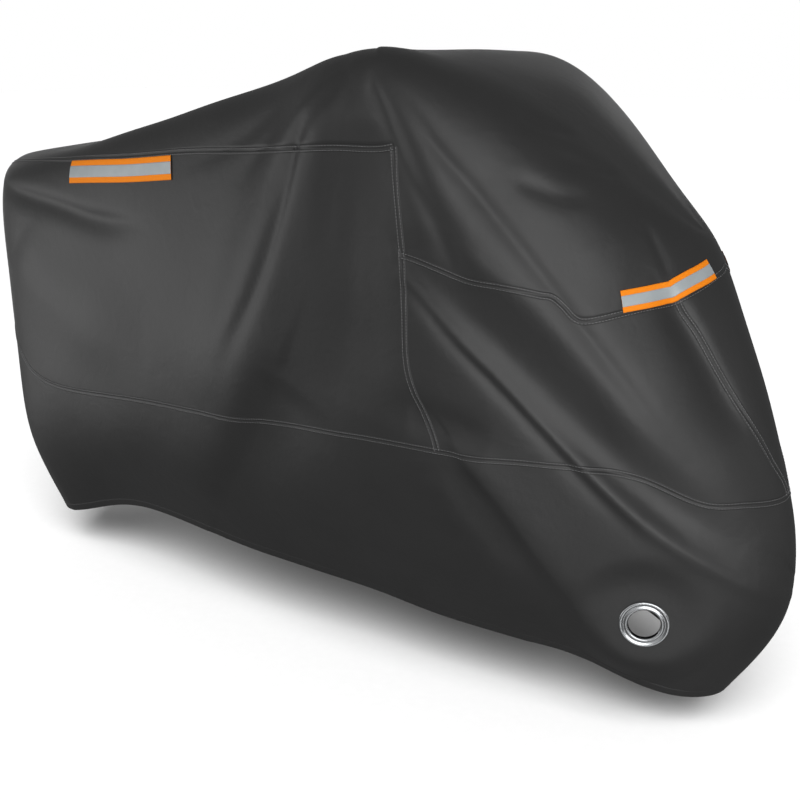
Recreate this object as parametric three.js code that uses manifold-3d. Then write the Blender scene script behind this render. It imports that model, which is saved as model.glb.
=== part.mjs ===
// Fitted motorcycle cover in its draped shape, hollow and open along the hem.
// Millimetres. +X to the nose, +Z up, the cover's right-hand side at -Y.
// Heights in the tables are above the ground; the finished part is moved so that
// its origin is the point under the top where the cover is carried.
import * as THREE from 'three'
import { mergeVertices } from 'three/addons/utils/BufferGeometryUtils.js'
import Module from 'manifold-3d'

const wasm = await Module()
wasm.setup()

const cloth = 2
const gap = 0.3
const hemLevel = 6
const restSection = 4.59
const rightSide = -1
const leftSide = 1
const sides = [{ side: rightSide, hand: 'right' }, { side: leftSide, hand: 'left' }]

const table = (columnNames, lines) => {
  const names = columnNames.split(' ')
  return lines.map(line => Object.fromEntries(names.map((name, k) => [name, line[k]])))
}

// the draped form, a line for each section from the tail centre line to the nose centre line:
// x at edge, belly and hem, height z of ridge, edge and hem, half width y from crown to hem
const sections = table('name x xBelly xHem zTop zEdge zHem yCrown yEdge yBelt yWaist yHem', [
  ['tailCentre', -950, -950, -880, 985, 900, 105, 0, 0, 0, 0, 0],
  ['tailCorner', -920, -920, -850, 990, 925, 85, 95, 145, 150, 145, 105],
  ['rearWheel', -750, -755, -735, 1020, 960, 100, 125, 190, 195, 190, 130],
  ['pillion', -490, -450, -505, 1040, 1040, 190, 135, 215, 235, 230, 150],
  ['saddle', -200, -160, -205, 1100, 1135, 170, 145, 245, 270, 260, 200],
  ['tank', 90, 110, 115, 1165, 1195, 170, 190, 280, 300, 280, 195],
  ['handlebar', 260, 290, 350, 1235, 1230, 140, 255, 370, 320, 280, 180],
  ['screenRear', 390, 480, 530, 1205, 1200, 145, 195, 300, 300, 260, 145],
  ['screenFront', 520, 690, 640, 1160, 1100, 140, 135, 220, 220, 220, 135],
  ['noseCorner', 640, 905, 795, 1030, 975, 70, 70, 140, 110, 130, 90],
  ['noseCentre', 795, 1020, 895, 890, 885, 85, 0, 0, 0, 0, 0],
])
const lastSection = sections.length - 1

// lengthwise seams: level t (0 ridge, 6 hem) against section number s
const topSeam = table('s t', [
  [0, 1], [0.6, 1.02], [1.03, 1.06], [1.32, 1.1], [1.64, 1.22], [2.18, 1.5], [2.64, 1.78], [3.29, 2.1],
  [3.86, 2.27], [4.71, 2.44], [5.65, 2.5], [6.41, 2.47], [8, 1.9], [9.1, 1.5], [10, 1.3],
])
const middleSeam = table('s t', [
  [0, 1.9], [1.5, 2.2], [3, 2.8], [5, 3.15], [6.4, 3.12], [7.01, 3.17], [7.82, 3.06], [8.01, 3.1],
  [8.22, 3.06], [8.65, 2.81], [9.06, 2.61], [9.4, 2.39], [10, 2.1],
])
const waistSeam = table('s t', [
  [0, 3.28], [0.6, 3.42], [1.08, 3.65], [1.39, 3.86], [1.73, 4.09], [2.33, 4.31], [3.06, 4.43], [4.65, 4.46],
  [5.93, 4.38], [6.83, 4.35], [7.54, 4.26], [8.34, 4.12], [8.85, 4.13], [9.3, 4.03], [10, 3.94],
])

// grid lines that follow the seams; level q is 0 at the ridge, 1 at the top seam, 2 at the
// middle seam, 3 at the waist seam and 4 at the hem
const eyeletLevel = 3.63
const columns = [
  { name: 'tail', at: 0, course: table('q s', [[0, 0], [4, 0]]) },
  {
    name: 'uprightSeam', at: 26,
    course: table('q s', [
      [0, 6.42], [1, 6.41], [2, 6.4], [2.27, 6.38], [2.57, 6.36], [2.8, 6.48], [3, 6.6], [4, 6.8],
    ]),
  },
  {
    name: 'eyelet', at: 38,
    course: table('q s', [[0, 8], [2, 8.12], [3, 8.3], [eyeletLevel, 8.4], [4, 8.42]]),
  },
  {
    name: 'noseSeam', at: 43,
    course: table('q s', [
      [0, 9.05], [1, 9.08], [2, 9.11], [2.18, 9.22], [2.37, 9.33], [2.59, 9.49], [2.82, 9.71], [3, 9.93],
      [eyeletLevel, 9.5], [4, 9.4],
    ]),
  },
  { name: 'nose', at: 46, course: table('q s', [[0, 10], [4, 10]]) },
]
const rows = table('name at q', [
  ['ridge', 0, 0],
  ['topSeam', 6, 1],
  ['middleSeam', 11, 2],
  ['waistSeam', 20, 3],
  ['eyeletRow', 26, eyeletLevel],
  ['hem', 30, 4],
])
const at = Object.fromEntries([...columns, ...rows].map(line => [line.name, line.at]))

// main folds: start, middle and end of the crest, height outward, half width at both ends
const folds = table('name side s0 t0 s1 t1 s2 t2 height from to', [
  ['barCrease', rightSide, 6.16, 1.99, 6.6, 2.64, 7, 3.23, -9, 14, 30],
  ['barRidge', rightSide, 6.21, 1.93, 6.62, 2.5, 6.98, 2.93, 8, 14, 34],
  ['longBand', rightSide, 6.51, 2.06, 7.54, 2.8, 8.5, 3.6, 11, 24, 36],
  ['wideValley', rightSide, 6.4, 3.1, 7.4, 3.5, 8.66, 4.1, -15, 40, 58],
  ['skirtRidge', rightSide, 6.42, 3.22, 7.72, 3.97, 9.64, 4.65, 13, 28, 38],
  ['leftRidge', rightSide, 5.4, 2.2, 4.75, 3.2, 3.9, 4.5, 10, 24, 50],
  ['sideValley', rightSide, 5.95, 2.4, 5.82, 3.2, 5.6, 4.1, -14, 40, 60],
  ['lowFold', rightSide, 4.65, 4.15, 4.27, 4.75, 3.8, 5.6, -12, 24, 40],
  ['tailBulge', rightSide, 2.25, 3.1, 2.8, 3.8, 3.4, 4.2, 12, 60, 80],
  ['tailCrease', rightSide, 1.6, 1.95, 2.54, 2.46, 3.6, 2.85, -8, 24, 30],
  ['noseBand', rightSide, 9.08, 2.8, 9.18, 3.2, 9.5, 3.55, -7, 24, 30],
  ['farBarRidge', leftSide, 6.2, 1.95, 6.7, 2.7, 7.1, 3.5, 10, 16, 38],
  ['farLongBand', leftSide, 6.45, 2.05, 7.5, 2.95, 8.5, 3.95, 10, 24, 40],
  ['farValley', leftSide, 6.3, 3, 7.1, 3.75, 8.1, 4.5, -14, 34, 50],
  ['farRidge', leftSide, 5.5, 2.2, 5, 3.3, 4.4, 4.6, 10, 26, 52],
  ['farLowFold', leftSide, 4.1, 4.1, 3.8, 4.8, 3.4, 5.5, -11, 26, 42],
  ['farTailCrease', leftSide, 1.6, 2.2, 2.5, 2.75, 3.4, 3.05, -8, 26, 34],
])
const foldSteps = 10

// pressed metal eyelet: a flanged tube from outside, a washer behind the cloth
const eyelet = {
  section: 8.4,
  hole: 30,
  flat: 50,
  flattenTo: 62,
  fadeTo: 135,
  slopeReach: 0.35,
  segments: 32,
  ring: table('r z', [
    [28, -5.2], [33, -5.2], [33, -4.1], [29.4, -4.1], [29.4, 0.3], [44, 0.3], [44.4, 1.6], [42, 3.3],
    [38.5, 3], [36.5, 1.9], [33.5, 3], [30, 2.8], [28, 1],
  ]),
  washer: table('r z', [[29.7, -3.8], [41, -3.8], [41, -2.3], [29.7, -2.3]]),
}

// reflective tapes: stretch along their seam, distance of both long edges below it, the grid
// cells of the panel under each, and a point near the middle whose normal the tape faces
const tapes = [
  {
    name: 'rear', seam: topSeam, from: 2.68, to: 3.86, near: 5, far: 51, middle: [3.3, 2.25],
    ground: [8, 18, at.topSeam, at.topSeam + 4],
  },
  {
    name: 'front', seam: middleSeam, from: 8.47, to: 9.66, near: -4, far: -40, middle: [9.1, 2.5],
    ground: [at.eyelet, at.nose, at.middleSeam - 4, at.middleSeam],
  },
]
const tapeLayers = [
  { name: 'tape', colour: 0xff8a00, low: 0.3, high: 1.3, inset: 0 },
  { name: 'silver', colour: 0xb4b6b8, low: 1.6, high: 2.4, inset: 0.25 },
]
const tapeSteps = 8
const tapeReach = 120

const mix = (a, b, f) => a + (b - a) * f
const smooth = (a, b, x) => {
  const f = Math.min(1, Math.max(0, (x - a) / (b - a)))
  return f * f * (3 - 2 * f)
}

// smooth curve through the lines of a table
const along = (lines, key, value, x) => {
  let i = 0
  while (i < lines.length - 2 && x > lines[i + 1][key]) i++
  const slope = k => {
    const before = lines[Math.max(k - 1, 0)]
    const after = lines[Math.min(k + 1, lines.length - 1)]
    return (after[value] - before[value]) / (after[key] - before[key])
  }
  const p = lines[i], r = lines[i + 1]
  const h = r[key] - p[key], f = (x - p[key]) / h
  return (2 * f ** 3 - 3 * f ** 2 + 1) * p[value] + (f ** 3 - 2 * f ** 2 + f) * slope(i) * h
    + (3 * f ** 2 - 2 * f ** 3) * r[value] + (f ** 3 - f ** 2) * slope(i + 1) * h
}

// control net of the drape: seven points per section, ridge to hem, on the right-hand side
const net = sections.map(line => {
  const x = f => mix(line.x, line.xBelly, f)
  const z = f => mix(line.zEdge, line.zHem, f)
  return [
    [line.x, 0, line.zTop],
    [line.x, -line.yCrown, mix(line.zTop, line.zEdge, 0.3)],
    [x(0.12), -line.yEdge, line.zEdge],
    [x(0.52), -mix(line.yEdge, line.yBelt, 0.55), z(0.27)],
    [x(0.82), -line.yBelt, z(0.52)],
    [line.xBelly, -line.yWaist, z(0.78)],
    [line.xHem, -line.yHem, line.zHem],
  ]
})
const mirrored = ([x, y, z]) => [x, -y, z]
const controlPoint = (i, j) => {
  if (i < 0) return mirrored(controlPoint(-i, j))
  if (i > lastSection) return mirrored(controlPoint(2 * lastSection - i, j))
  if (j < 0) return mirrored(net[i][-j])
  if (j > hemLevel) return net[i][hemLevel].map((v, k) => 2 * v - net[i][hemLevel - 1][k])
  return net[i][j]
}
const splineWeights = f => [
  (1 - f) ** 3 / 6,
  (3 * f ** 3 - 6 * f ** 2 + 4) / 6,
  (-3 * f ** 3 + 3 * f ** 2 + 3 * f + 1) / 6,
  f ** 3 / 6,
]

const smoothDrape = (s, t, side) => {
  const i = Math.min(Math.floor(s), lastSection - 1)
  const j = Math.min(Math.floor(t), hemLevel - 1)
  const point = new THREE.Vector3()
  splineWeights(s - i).forEach((ws, a) => splineWeights(t - j).forEach((wt, b) => {
    const [x, y, z] = controlPoint(i + a - 1, j + b - 1)
    point.addScaledVector(new THREE.Vector3(x, -side * y, z), ws * wt)
  }))
  return point
}
const smoothNormal = (s, t, side) => {
  const step = 0.02
  const sc = Math.min(Math.max(s, 2 * step), lastSection - 2 * step)
  const tc = Math.min(Math.max(t, 2 * step), hemLevel - step)
  const ds = smoothDrape(sc + step, tc, side).sub(smoothDrape(sc - step, tc, side))
  const dt = smoothDrape(sc, tc + step, side).sub(smoothDrape(sc, tc - step, side))
  const normal = dt.cross(ds).multiplyScalar(-side)
  if (s === 0 || s === lastSection || t === 0) normal.y = 0
  return normal.normalize()
}

for (const fold of folds) {
  fold.path = []
  for (let k = 0; k <= foldSteps; k++) {
    const f = k / foldSteps
    const start = 2 * (f - 0.5) * (f - 1), middle = 4 * f * (1 - f), end = 2 * f * (f - 0.5)
    const s = fold.s0 * start + fold.s1 * middle + fold.s2 * end
    const t = fold.t0 * start + fold.t1 * middle + fold.t2 * end
    fold.path.push(smoothDrape(s, t, fold.side))
  }
}
// a fold rises over its first fifth and fades over its last third
const foldHeight = point => {
  let height = 0
  for (const fold of folds) {
    let nearest = Infinity
    let where = 0
    for (let k = 0; k < foldSteps; k++) {
      const crest = fold.path[k + 1].clone().sub(fold.path[k])
      const off = point.clone().sub(fold.path[k])
      const f = Math.min(1, Math.max(0, off.dot(crest) / crest.lengthSq()))
      const distance = off.addScaledVector(crest, -f).length()
      if (distance < nearest) {
        nearest = distance
        where = (k + f) / foldSteps
      }
    }
    const across = Math.exp(-((nearest / mix(fold.from, fold.to, where)) ** 2))
    height += fold.height * across * smooth(-0.15, 0.2, where) * (1 - smooth(0.65, 1.1, where))
  }
  return height
}
const creased = (s, t, side) => {
  const point = smoothDrape(s, t, side)
  return point.addScaledVector(smoothNormal(s, t, side), foldHeight(point))
}

// the cloth is drawn flat where an eyelet is pressed in
const waistAt = s => along(waistSeam, 's', 't', s)
const eyeletFrames = {}
for (const { side } of sides) {
  const s = eyelet.section, reach = eyelet.slopeReach
  const t = mix(waistAt(s), hemLevel, eyeletLevel - 3)
  const ds = creased(s + reach, t, side).sub(creased(s - reach, t, side))
  const dt = creased(s, t + reach, side).sub(creased(s, t - reach, side))
  const out = dt.clone().cross(ds).multiplyScalar(-side).normalize()
  const up = dt.addScaledVector(out, -dt.dot(out)).negate().normalize()
  eyeletFrames[side] = { centre: creased(s, t, side), out, up, across: up.clone().cross(out) }
}
const inEyeletFrame = (frame, radius, angle) => frame.centre.clone()
  .addScaledVector(frame.across, radius * Math.cos(angle))
  .addScaledVector(frame.up, radius * Math.sin(angle))
const drape = (s, t, side) => {
  const point = creased(s, t, side)
  if (point.y * side < 0) return point
  const frame = eyeletFrames[side]
  const off = point.clone().sub(frame.centre)
  const rise = off.dot(frame.out)
  const radius = Math.sqrt(Math.max(0, off.lengthSq() - rise * rise))
  return point.addScaledVector(frame.out, -rise * (1 - smooth(eyelet.flattenTo, eyelet.fadeTo, radius)))
}

// shared grid of the whole cover; the two sides share the ridge, tail and nose lines
const points = []
const pointIndex = new Map()
const rowLevel = r => {
  const k = rows.findIndex((row, n) => n > 0 && r <= row.at)
  return mix(rows[k - 1].q, rows[k].q, (r - rows[k - 1].at) / (rows[k].at - rows[k - 1].at))
}
const gridParameters = (c, r) => {
  const q = rowLevel(r)
  const k = Math.max(1, columns.findIndex(column => c <= column.at))
  const a = columns[k - 1], b = columns[k]
  const across = (c - a.at) / (b.at - a.at)
  const s = Math.min(lastSection, mix(along(a.course, 'q', 's', q), along(b.course, 'q', 's', q), across))
  const levels = [0, along(topSeam, 's', 't', s), along(middleSeam, 's', 't', s), waistAt(s), hemLevel]
  const n = Math.min(3, Math.floor(q))
  return [s, mix(levels[n], levels[n + 1], q - n)]
}
const gridPoint = (c, r, side) => {
  const shared = r === 0 || c === 0 || c === at.nose
  const key = `${c},${r},${shared ? 0 : side}`
  if (!pointIndex.has(key)) {
    pointIndex.set(key, points.length)
    const point = drape(...gridParameters(c, r), side)
    if (shared) point.y = 0
    points.push(point)
  }
  return pointIndex.get(key)
}

// faces wind the right way round on the right-hand side and are turned over on the left
const facesFor = (side, faces) => side === rightSide ? faces : faces.map(([i, j, k]) => [i, k, j])
const block = { c0: at.eyelet - 2, r0: at.eyeletRow - 2, size: 4 }
const within = (value, start) => value >= start && value < start + block.size
const inBlock = (c, r) => within(c, block.c0) && within(r, block.r0)
// a cell is split along the diagonal that lies closer to the drape
const cell = (c, r, side) => {
  const a = gridPoint(c, r, side), b = gridPoint(c, r + 1, side)
  const d = gridPoint(c + 1, r + 1, side), e = gridPoint(c + 1, r, side)
  const middle = drape(...gridParameters(c + 0.5, r + 0.5), side)
  const miss = (i, j) => points[i].clone().lerp(points[j], 0.5).distanceTo(middle)
  return facesFor(side, miss(b, e) < miss(a, d) ? [[a, b, e], [b, d, e]] : [[a, b, d], [a, d, e]])
}
const cells = (c0, c1, r0, r1, side) => {
  const faces = []
  for (let c = c0; c < c1; c++) {
    for (let r = r0; r < r1; r++) if (!inBlock(c, r)) faces.push(...cell(c, r, side))
  }
  return faces
}
// the block of cells around an eyelet becomes round: its border, a flat ring and the hole
const eyeletPatch = side => {
  const frame = eyeletFrames[side], n = block.size
  const border = []
  for (let k = 0; k < n; k++) border.push(gridPoint(block.c0, block.r0 + k, side))
  for (let k = 0; k < n; k++) border.push(gridPoint(block.c0 + k, block.r0 + n, side))
  for (let k = 0; k < n; k++) border.push(gridPoint(block.c0 + n, block.r0 + n - k, side))
  for (let k = 0; k < n; k++) border.push(gridPoint(block.c0 + n - k, block.r0, side))
  const count = border.length
  const angles = border.map(i => {
    const off = points[i].clone().sub(frame.centre)
    return Math.atan2(off.dot(frame.up), off.dot(frame.across))
  })
  const halfTurn = k => {
    const turn = angles[(k + 1) % count] - angles[k]
    return Math.atan2(Math.sin(turn), Math.cos(turn)) / 2
  }
  const ringAngles = angles.flatMap((angle, k) => [angle, angle + halfTurn(k)])
  const ring = radius => ringAngles.map(angle => {
    points.push(inEyeletFrame(frame, radius, angle))
    return points.length - 1
  })
  const flat = ring(eyelet.flat), hole = ring(eyelet.hole)
  const faces = []
  for (let k = 0; k < count; k++) {
    const next = border[(k + 1) % count]
    const a = 2 * k, b = a + 1, c = (a + 2) % (2 * count)
    faces.push([border[k], next, flat[b]], [border[k], flat[b], flat[a]])
    faces.push([next, flat[c], flat[b]])
    faces.push([flat[a], flat[b], hole[b]], [flat[a], hole[b], hole[a]])
    faces.push([flat[b], flat[c], hole[c]], [flat[b], hole[c], hole[b]])
  }
  return facesFor(side, faces)
}

const bothSides = (c0, c1, r0, r1) => sides.flatMap(({ side }) => cells(c0, c1, r0, r1, side))
const panels = [
  {
    name: 'top_panel',
    colour: 0x3a3b3c,
    faces: [
      ...bothSides(0, at.nose, 0, at.topSeam),
      ...bothSides(at.uprightSeam, at.nose, at.topSeam, at.middleSeam),
    ],
  },
  {
    name: 'nose_panel',
    colour: 0x454648,
    faces: bothSides(at.noseSeam, at.nose, at.middleSeam, at.waistSeam),
  },
]
for (const { side, hand } of sides) {
  panels.push(
    {
      name: `rear_side_${hand}`,
      colour: 0x424345,
      faces: cells(0, at.uprightSeam, at.topSeam, at.waistSeam, side),
    },
    {
      name: `front_side_${hand}`,
      colour: 0x3d3e40,
      faces: cells(at.uprightSeam, at.noseSeam, at.middleSeam, at.waistSeam, side),
    },
    {
      name: `skirt_${hand}`,
      colour: 0x373839,
      faces: [...cells(0, at.nose, at.waistSeam, at.hem, side), ...eyeletPatch(side)],
    },
  )
}

const normals = points.map(() => new THREE.Vector3())
for (const [a, b, c] of panels.flatMap(panel => panel.faces)) {
  const normal = points[b].clone().sub(points[a]).cross(points[c].clone().sub(points[a]))
  for (const i of [a, b, c]) normals[i].add(normal)
}
normals.forEach((normal, i) => {
  if (points[i].y === 0) normal.y = 0
  normal.normalize()
})

// the origin lies on the ridge, on the inner face of the top
const origin = drape(restSection, 0, rightSide)
origin.addScaledVector(smoothNormal(restSection, 0, rightSide), -cloth)

// the edges of a panel move inward by half a gap, which keeps sewn panels clear of each other
const panelEdges = faces => {
  const open = new Map()
  for (const [a, b, c] of faces) {
    for (const [i, j, k] of [[a, b, c], [b, c, a], [c, a, b]]) {
      if (!open.delete(`${j},${i}`)) open.set(`${i},${j}`, [i, j, k])
    }
  }
  return [...open.values()]
}
const insetShifts = edges => {
  const inward = new Map()
  for (const [i, j, k] of edges) {
    const edge = points[j].clone().sub(points[i])
    const away = edge.clone().cross(points[k].clone().sub(points[i])).cross(edge).normalize()
    for (const v of [i, j]) inward.set(v, [...(inward.get(v) ?? []), away])
  }
  const shifts = new Map()
  for (const [v, [a, b]] of inward) {
    shifts.set(v, a.clone().add(b).multiplyScalar(gap / 2 / (1 + Math.max(0, a.dot(b)))))
  }
  return shifts
}
const surface = (vertices, triangles) => {
  const geometry = new THREE.BufferGeometry()
  const flat = vertices.flatMap(point => point.toArray())
  geometry.setAttribute('position', new THREE.Float32BufferAttribute(flat, 3))
  geometry.setIndex(triangles.flat())
  return geometry
}
// a closed layer of cloth or tape between two heights over the draped faces
const closedSheet = (faces, low, high) => {
  const edges = panelEdges(faces), shifts = insetShifts(edges)
  const used = [...new Set(faces.flat())], count = used.length
  const place = new Map(used.map((v, k) => [v, k]))
  const vertices = []
  for (const level of [high, low]) {
    for (const v of used) {
      const point = points[v].clone().addScaledVector(normals[v], level).sub(origin)
      vertices.push(shifts.has(v) ? point.add(shifts.get(v)) : point)
    }
  }
  const triangles = []
  for (const face of faces) {
    const [i, j, k] = face.map(v => place.get(v))
    triangles.push([i, j, k], [i + count, k + count, j + count])
  }
  for (const [a, b] of edges) {
    const i = place.get(a), j = place.get(b)
    triangles.push([j, i, i + count], [j, i + count, j + count])
  }
  return surface(vertices, triangles)
}

const part = new THREE.Group()
part.name = 'motorcycle_cover'
const addPiece = (name, geometry, { color, metalness = 0, roughness = 0.8 }) => {
  geometry.computeVertexNormals()
  const piece = new THREE.Mesh(geometry, new THREE.MeshStandardMaterial({ color, metalness, roughness }))
  piece.name = name
  part.add(piece)
}
for (const panel of panels) {
  addPiece(panel.name, closedSheet(panel.faces, -cloth, 0), { color: panel.colour })
}

const turned = (profile, frame) => {
  const vertices = [], triangles = []
  const count = profile.length
  for (let k = 0; k < eyelet.segments; k++) {
    const next = (k + 1) % eyelet.segments
    profile.forEach(({ r, z }, j) => {
      const angle = 2 * Math.PI * k / eyelet.segments
      vertices.push(inEyeletFrame(frame, r, angle).addScaledVector(frame.out, z).sub(origin))
      const up = (j + 1) % count
      const a = k * count + j, b = k * count + up, c = next * count + up, d = next * count + j
      triangles.push([a, c, b], [a, d, c])
    })
  }
  return surface(vertices, triangles)
}
const pressedMetal = { color: 0x8c8f92, metalness: 1, roughness: 0.3 }
for (const { side, hand } of sides) {
  for (const name of ['ring', 'washer']) {
    addPiece(`eyelet_${name}_${hand}`, turned(eyelet[name], eyeletFrames[side]), pressedMetal)
  }
}

// a tape is the layer just over its panel, trimmed to the tape's outline
const asSolid = geometry => {
  geometry.deleteAttribute('normal')
  geometry.deleteAttribute('uv')
  const merged = mergeVertices(geometry)
  return new wasm.Manifold(new wasm.Mesh({
    numProp: 3,
    vertProperties: new Float32Array(merged.attributes.position.array),
    triVerts: new Uint32Array(merged.index.array),
  }))
}
const fromSolid = solid => {
  const mesh = solid.getMesh()
  const geometry = new THREE.BufferGeometry()
  geometry.setAttribute('position', new THREE.Float32BufferAttribute(mesh.vertProperties, mesh.numProp))
  geometry.setIndex([...mesh.triVerts])
  return geometry
}
const belowSeam = (seam, s, drop) => {
  const t = along(seam, 's', 't', s), step = 0.1
  return t + step * drop / smoothDrape(s, t + step, rightSide).distanceTo(smoothDrape(s, t, rightSide))
}
const tapeCutter = (tape, near, far, side) => {
  const facing = smoothNormal(...tape.middle, side)
  const upward = new THREE.Vector3(0, 0, 1).addScaledVector(facing, -facing.z).normalize()
  const sideways = upward.clone().cross(facing)
  const middle = smoothDrape(...tape.middle, side).sub(origin)
  const corners = edge => Array.from({ length: tapeSteps + 1 }, (_, k) => {
    const s = mix(tape.from, tape.to, k / tapeSteps)
    const off = drape(s, belowSeam(tape.seam, s, edge), side).sub(origin).sub(middle)
    return new THREE.Vector2(off.dot(sideways), off.dot(upward))
  })
  const outline = new THREE.Shape([...corners(near), ...corners(far).reverse()])
  const prism = new THREE.ExtrudeGeometry(outline, { depth: 2 * tapeReach, bevelEnabled: false })
  const base = middle.addScaledVector(facing, -tapeReach)
  return prism.applyMatrix4(new THREE.Matrix4().makeBasis(sideways, upward, facing).setPosition(base))
}
for (const { side, hand } of sides) {
  for (const tape of tapes) {
    for (const layer of tapeLayers) {
      const near = mix(tape.near, tape.far, layer.inset), far = mix(tape.far, tape.near, layer.inset)
      const ground = asSolid(closedSheet(cells(...tape.ground, side), layer.low, layer.high))
      const band = ground.intersect(asSolid(tapeCutter(tape, near, far, side)))
      addPiece(`${layer.name}_${tape.name}_${hand}`, fromSolid(band), { color: layer.colour, roughness: 0.5 })
    }
  }
}

export default part
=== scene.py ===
import math
import bpy
import bmesh
import numpy as np
from mathutils import Matrix, Vector


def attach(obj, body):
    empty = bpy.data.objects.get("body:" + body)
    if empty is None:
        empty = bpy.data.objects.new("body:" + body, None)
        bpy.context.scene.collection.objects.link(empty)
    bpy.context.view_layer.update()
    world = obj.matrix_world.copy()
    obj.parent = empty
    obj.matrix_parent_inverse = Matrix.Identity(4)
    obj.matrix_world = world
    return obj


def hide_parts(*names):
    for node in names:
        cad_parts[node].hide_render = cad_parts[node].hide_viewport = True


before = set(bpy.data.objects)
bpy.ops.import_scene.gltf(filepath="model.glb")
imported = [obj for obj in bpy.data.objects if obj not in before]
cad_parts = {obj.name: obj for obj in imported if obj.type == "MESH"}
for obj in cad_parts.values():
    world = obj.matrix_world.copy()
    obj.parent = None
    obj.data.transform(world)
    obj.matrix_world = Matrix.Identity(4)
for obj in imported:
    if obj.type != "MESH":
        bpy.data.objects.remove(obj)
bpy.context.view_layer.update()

mm = 0.001
right, left = -1, 1                # sides of the cover: right is -Y, the side that the camera sees
hands = {right: "right", left: "left"}

# The draped form, repeated from the part's source: millimetres above the ground, one line per
# section from the tail centre line to the nose centre line.
# x, xBelly, xHem, zTop, zEdge, zHem, yCrown, yEdge, yBelt, yWaist, yHem
sections = np.array([
    (-950, -950, -880, 985, 900, 105, 0, 0, 0, 0, 0),              # tail centre
    (-920, -920, -850, 990, 925, 85, 95, 145, 150, 145, 105),      # tail corner
    (-750, -755, -735, 1020, 960, 100, 125, 190, 195, 190, 130),
    (-490, -450, -505, 1040, 1040, 190, 135, 215, 235, 230, 150),
    (-200, -160, -205, 1100, 1135, 170, 145, 245, 270, 260, 200),
    (90, 110, 115, 1165, 1195, 170, 190, 280, 300, 280, 195),
    (260, 290, 350, 1235, 1230, 140, 255, 370, 320, 280, 180),     # widest and highest
    (390, 480, 530, 1205, 1200, 145, 195, 300, 300, 260, 145),
    (520, 690, 640, 1160, 1100, 140, 135, 220, 220, 220, 135),
    (640, 905, 795, 1030, 975, 70, 70, 140, 110, 130, 90),         # nose corner
    (795, 1020, 895, 890, 885, 85, 0, 0, 0, 0, 0),                 # nose centre
], float)
lastSection, hemLevel, restSection, solidCloth = 10, 6, 4.59, 2.0

# Seams as level t (0 ridge, 6 hem) against section number s.
topSeam = np.array([
    (0, 1), (0.6, 1.02), (1.03, 1.06), (1.32, 1.1), (1.64, 1.22), (2.18, 1.5), (2.64, 1.78), (3.29, 2.1),
    (3.86, 2.27), (4.71, 2.44), (5.65, 2.5), (6.41, 2.47), (8, 1.9), (9.1, 1.5), (10, 1.3)])
middleSeam = np.array([
    (0, 1.9), (1.5, 2.2), (3, 2.8), (5, 3.15), (6.4, 3.12), (7.01, 3.17), (7.35, 3.13), (7.7, 3.08), (7.81, 3.06),
    (7.9, 3.09), (7.97, 3.13), (8.04, 3.13), (8.21, 3.05), (8.45, 2.92), (8.75, 2.76), (8.99, 2.64), (9.09, 2.585),
    (9.18, 2.52), (9.36, 2.4), (9.69, 2.19), (10, 2.05)])
waistSeam = np.array([
    (0, 3.28), (0.6, 3.42), (1.08, 3.65), (1.39, 3.86), (1.73, 4.09), (2.33, 4.31), (3.06, 4.43), (4.65, 4.46),
    (5.93, 4.38), (6.83, 4.35), (7.54, 4.26), (8.34, 4.12), (8.85, 4.13), (9.3, 4.03), (10, 3.94)])

# Upright grid lines: column number, then section s against level q (1 top seam, 2 middle seam,
# 3 waist seam, 4 hem). Column 26 is the upright seam, 43 the slanting nose seam.
eyeletLevel, eyeletSection = 3.63, 8.4
uprightColumn, noseColumn, lastColumn = 26, 43, 46
columns = [
    (0, np.array([(0, 0), (4, 0)])),
    (uprightColumn, np.array([(0, 6.42), (1, 6.41), (2, 6.4), (2.27, 6.38), (2.57, 6.36), (2.8, 6.48), (3, 6.6), (4, 6.8)])),
    (38, np.array([(0, 8), (2, 8.12), (3, 8.3), (eyeletLevel, eyeletSection), (4, 8.42)])),
    (noseColumn, np.array([
        (0, 9.05), (1, 9.08), (2, 9.11), (2.18, 9.22), (2.37, 9.33), (2.59, 9.49), (2.82, 9.71), (3, 9.93),
        (eyeletLevel, 9.5), (4, 9.4)])),
    (lastColumn, np.array([(0, 10), (4, 10)])),
]


def mix(a, b, f):
    return a + (b - a) * f


def smooth(a, b, x):
    f = np.clip((x - a) / (b - a), 0, 1)
    return f * f * (3 - 2 * f)


# smooth curve through a table of (key, value)
def along(table, x):
    key, value = table.T
    i = np.clip(np.searchsorted(key, x, side="right") - 1, 0, len(key) - 2)
    up, down = np.minimum(np.arange(len(key)) + 1, len(key) - 1), np.maximum(np.arange(len(key)) - 1, 0)
    slope = (value[up] - value[down]) / (key[up] - key[down])
    h = key[i + 1] - key[i]
    f = (x - key[i]) / h
    return ((2 * f**3 - 3 * f**2 + 1) * value[i] + (f**3 - 2 * f**2 + f) * slope[i] * h
            + (3 * f**2 - 2 * f**3) * value[i + 1] + (f**3 - f**2) * slope[i + 1] * h)


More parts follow.
